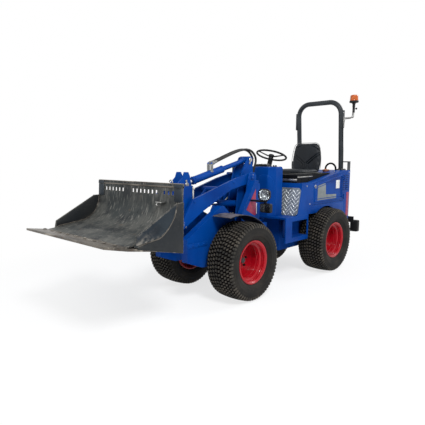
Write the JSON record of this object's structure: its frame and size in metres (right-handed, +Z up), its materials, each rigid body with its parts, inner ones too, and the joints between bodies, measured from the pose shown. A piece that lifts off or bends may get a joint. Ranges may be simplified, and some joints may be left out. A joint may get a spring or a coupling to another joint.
{
  "type": "wheel loader",
  "caption": "Compact articulated wheel loader with a front bucket on a lifting boom, an open operator's seat, a roll bar and turf tyres.",
  "frame": {"origin": "on the ground, under the middle of the whole length", "axes": "+X forward towards the bucket, +Y to the machine's left, +Z up"},
  "size_m": [3.8, 1.13, 2.035],
  "materials": {
    "blue_paint": "gloss",
    "rim_red": "satin",
    "tyre": "matte",
    "black_paint": "satin",
    "charcoal_paint": "satin",
    "checker_aluminium": "checker plate",
    "engine_iron": "rough",
    "chrome_rod": "polished",
    "worn_steel": "worn",
    "edge_steel": "worn",
    "black_vinyl": "satin",
    "black_plastic": "matte",
    "amber_plastic": "clear",
    "hose_rubber": "matte"
  },
  "bodies": {
    "rear_chassis": {"rear_frame": "blue_paint", "articulation_lugs": "blue_paint", "frame_outriggers": "blue_paint", "engine_block": "engine_iron", "rear_wheel_motors": "blue_paint", "platform": "black_paint", "kick_plates": "checker_aluminium", "engine_cover": "blue_paint", "rear_grille": "black_paint", "console": "blue_paint", "steering_column": "black_paint", "control_levers": "black_plastic", "seat_deck": "black_paint", "seat_cushion": "black_vinyl", "seat_backrest": "black_vinyl", "rops_frame": "charcoal_paint", "beacon": "amber_plastic", "rear_lamps": "black_plastic", "hood_handle": "black_paint"},
    "front_chassis": {"front_frame": "blue_paint", "boom_tower": "blue_paint", "front_wheel_motors": "blue_paint", "front_fenders": "black_plastic", "headlights": "black_plastic", "tilt_hoses": "hose_rubber"},
    "front_left_wheel": {"front_left_tyre": "tyre", "front_left_rim": "rim_red"},
    "front_right_wheel": {"front_right_tyre": "tyre", "front_right_rim": "rim_red"},
    "rear_left_wheel": {"rear_left_tyre": "tyre", "rear_left_rim": "rim_red"},
    "rear_right_wheel": {"rear_right_tyre": "tyre", "rear_right_rim": "rim_red"},
    "left_door": {"left_service_door": "blue_paint"},
    "right_door": {"right_service_door": "blue_paint"},
    "steering_wheel": {"steering_wheel": "black_plastic"},
    "boom": {"boom_arms": "blue_paint"},
    "bucket": {"coupler": "blue_paint", "bucket_shell": "worn_steel", "cutting_edge": "edge_steel"},
    "lift_barrel": {"lift_cylinder_barrel": "blue_paint"},
    "lift_rod": {"lift_cylinder_rod": "chrome_rod"},
    "tilt_barrel": {"tilt_cylinder_barrel": "blue_paint"},
    "tilt_rod": {"tilt_cylinder_rod": "chrome_rod"},
    "steering_barrel": {"steering_cylinder_barrel": "black_paint"},
    "steering_rod": {"steering_cylinder_rod": "chrome_rod"}
  },
  "joints": [
    {"name": "articulation", "type": "hinge", "parent": "rear_chassis", "child": "front_chassis", "pos_m": [-0.492, 0, 0.5], "axis": [0, 0, 1], "range_deg": [-40, 40]},
    {"name": "front_left_wheel_spin", "type": "hinge", "parent": "front_chassis", "child": "front_left_wheel", "pos_m": [0.268, 0.402, 0.366], "axis": [0, 1, 0], "continuous": true},
    {"name": "front_right_wheel_spin", "type": "hinge", "parent": "front_chassis", "child": "front_right_wheel", "pos_m": [0.268, -0.402, 0.366], "axis": [0, 1, 0], "continuous": true},
    {"name": "rear_left_wheel_spin", "type": "hinge", "parent": "rear_chassis", "child": "rear_left_wheel", "pos_m": [-1.252, 0.402, 0.366], "axis": [0, 1, 0], "continuous": true},
    {"name": "rear_right_wheel_spin", "type": "hinge", "parent": "rear_chassis", "child": "rear_right_wheel", "pos_m": [-1.252, -0.402, 0.366], "axis": [0, 1, 0], "continuous": true},
    {"name": "boom_lift", "type": "hinge", "parent": "front_chassis", "child": "boom", "pos_m": [-0.177, 0, 1.113], "axis": [0, -1, 0], "range_deg": [-33, 60]},
    {"name": "bucket_tilt", "type": "hinge", "parent": "boom", "child": "bucket", "pos_m": [0.783, 0, 0.73], "axis": [0, 1, 0], "range_deg": [-20, 80]},
    {"name": "lift_barrel_pivot", "type": "hinge", "parent": "front_chassis", "child": "lift_barrel", "pos_m": [-0.309, 0, 0.825], "axis": [0, -1, 0], "range_deg": [-24.1, 43.81]},
    {"name": "lift_rod_slide", "type": "slide", "parent": "lift_barrel", "child": "lift_rod", "axis": [0.9966, 0, 0.0826], "range_m": [-0.1321, 0.2401]},
    {"name": "tilt_barrel_pivot", "type": "hinge", "parent": "front_chassis", "child": "tilt_barrel", "pos_m": [-0.254, 0, 1.29], "axis": [0, -1, 0], "range_deg": [-31.36, 57.01], "deforming": ["tilt_hoses"]},
    {"name": "tilt_rod_slide", "type": "slide", "parent": "tilt_barrel", "child": "tilt_rod", "axis": [0.9733, 0, -0.2295], "range_m": [-0.0841, 0.3361]},
    {"name": "steering_barrel_pivot", "type": "hinge", "parent": "rear_chassis", "child": "steering_barrel", "pos_m": [-0.852, -0.12, 0.47], "axis": [0, 0, 1], "range_deg": [-13.61, 13.61]},
    {"name": "steering_rod_slide", "type": "slide", "parent": "steering_barrel", "child": "steering_rod", "axis": [0.9975, 0.0712, 0], "range_m": [-0.0641, 0.0641]},
    {"name": "steering_wheel_turn", "type": "hinge", "parent": "rear_chassis", "child": "steering_wheel", "pos_m": [-0.722, 0, 1.335], "axis": [-0.3482, 0, 0.9374], "range_deg": [-240.1, 240.1]},
    {"name": "left_door_swing", "type": "hinge", "parent": "rear_chassis", "child": "left_door", "pos_m": [-1.664, 0.406, 0.95], "axis": [0, 0, 1], "range_deg": [0, 110]},
    {"name": "right_door_swing", "type": "hinge", "parent": "rear_chassis", "child": "right_door", "pos_m": [-1.664, -0.406, 0.95], "axis": [0, 0, -1], "range_deg": [0, 110]}
  ],
  "couplings": [
    {"joint": "lift_barrel_pivot", "follows": "boom_lift", "ratio": 0.73},
    {"joint": "lift_rod_slide", "follows": "boom_lift", "m_per_rad": 0.22918},
    {"joint": "tilt_barrel_pivot", "follows": "boom_lift", "ratio": 0.95},
    {"joint": "tilt_rod_slide", "follows": "bucket_tilt", "m_per_rad": 0.24064},
    {"joint": "steering_barrel_pivot", "follows": "articulation", "ratio": 0.34},
    {"joint": "steering_rod_slide", "follows": "articulation", "m_per_rad": 0.09167},
    {"joint": "steering_wheel_turn", "follows": "articulation", "ratio": 6}
  ]
}
